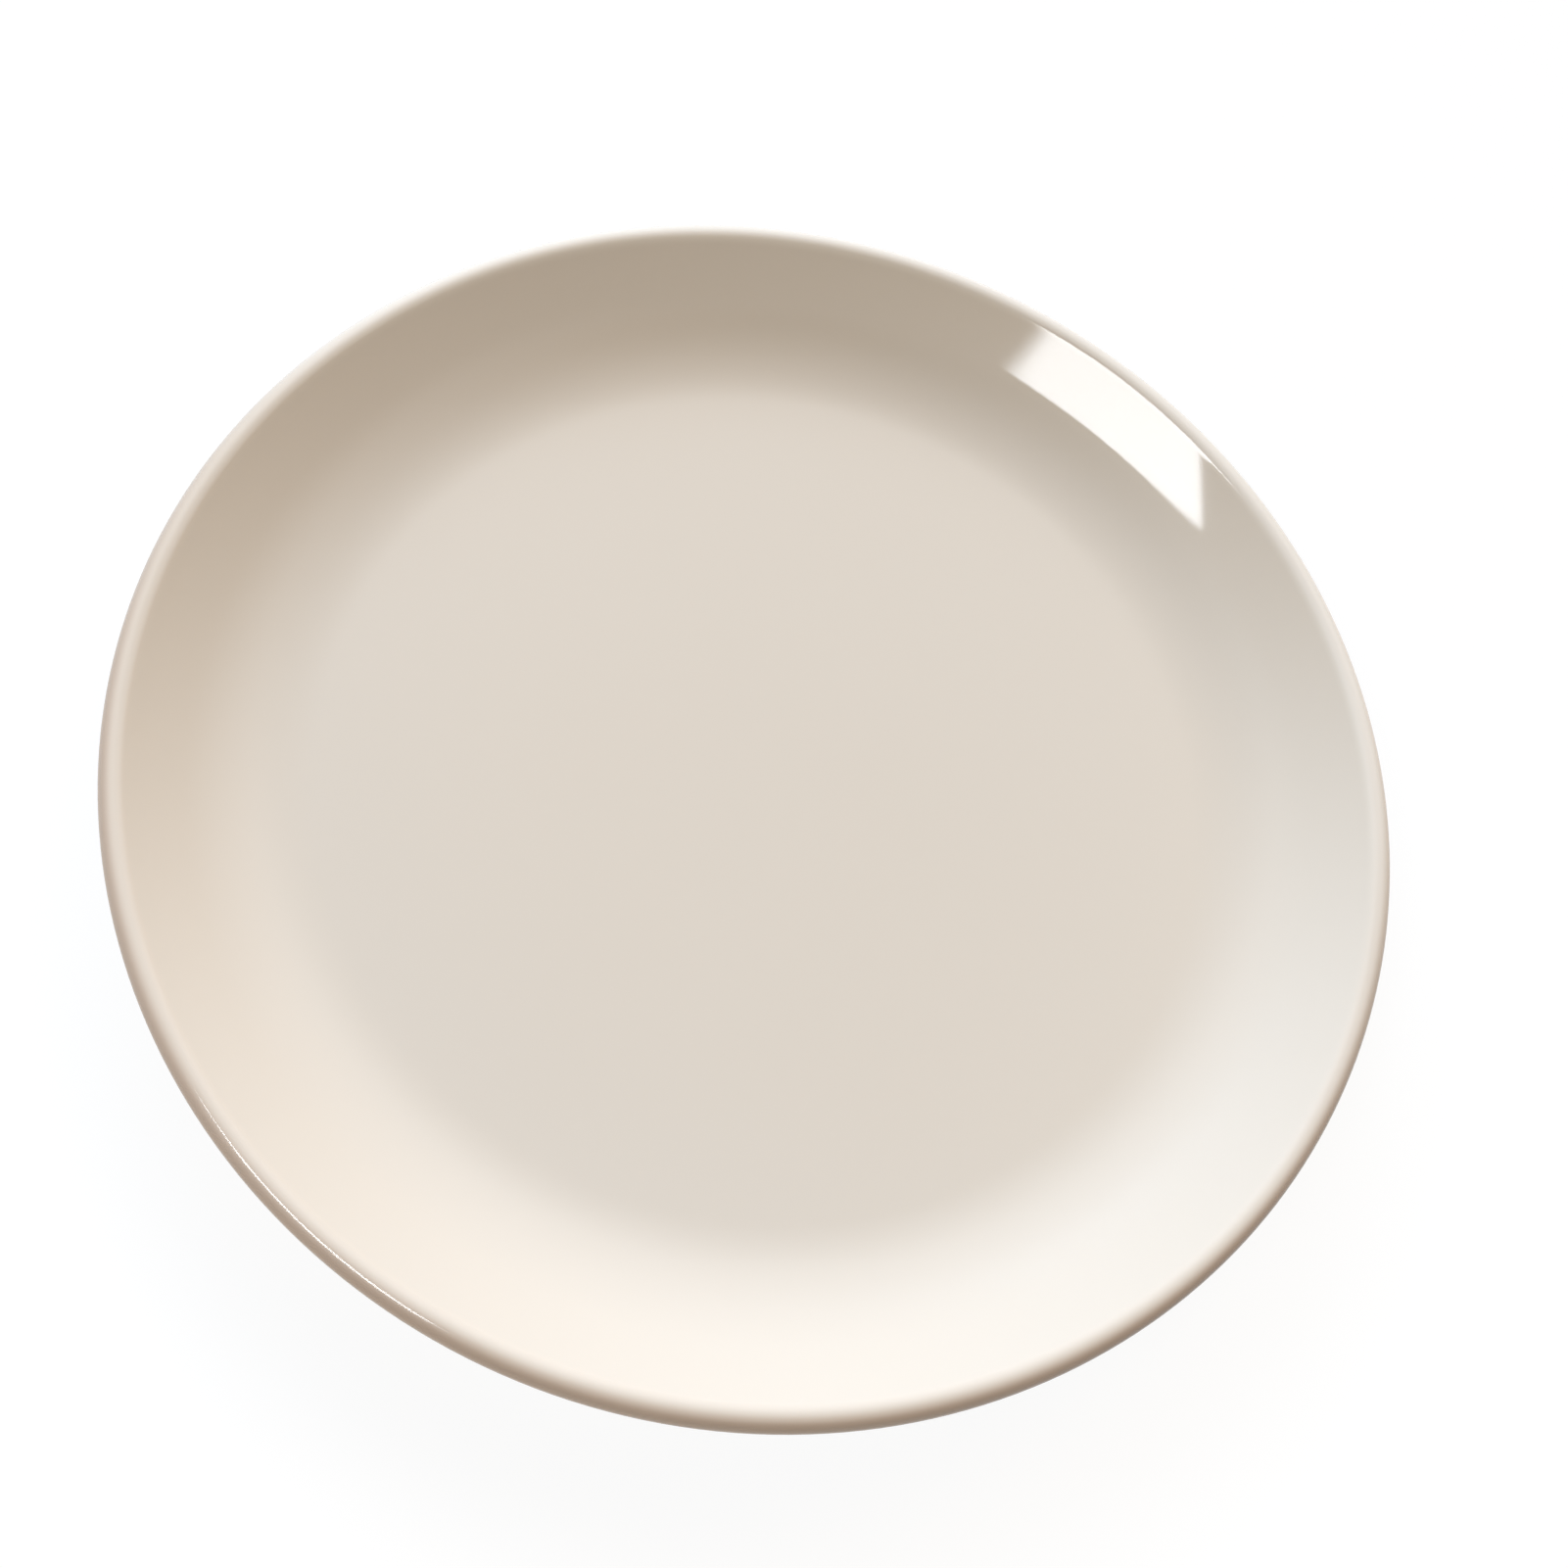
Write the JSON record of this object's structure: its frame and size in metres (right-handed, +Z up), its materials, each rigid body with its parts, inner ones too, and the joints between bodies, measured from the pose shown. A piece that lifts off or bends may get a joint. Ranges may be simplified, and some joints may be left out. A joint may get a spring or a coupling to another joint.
{
  "type": "fruit plate",
  "caption": "Round cream-glazed coupe plate with a flat floor, a low wall that bends up smoothly to a rounded lip, and a foot ring, for serving fruit or dessert.",
  "frame": {"origin": "centre of the foot ring's seat, on the table", "axes": "+Z up along the plate's axis of symmetry; X and Y are any two level directions, because the plate is round"},
  "size_m": [0.205, 0.205, 0.0212],
  "materials": {
    "fired_clay": "matt, wiped bare on the seat of the foot ring",
    "cream_glaze": "glossy, plain cream"
  },
  "bodies": {
    "root": {"plate_body": "fired_clay", "glaze_coat": "cream_glaze", "base_glaze": "cream_glaze"}
  },
  "joints": []
}
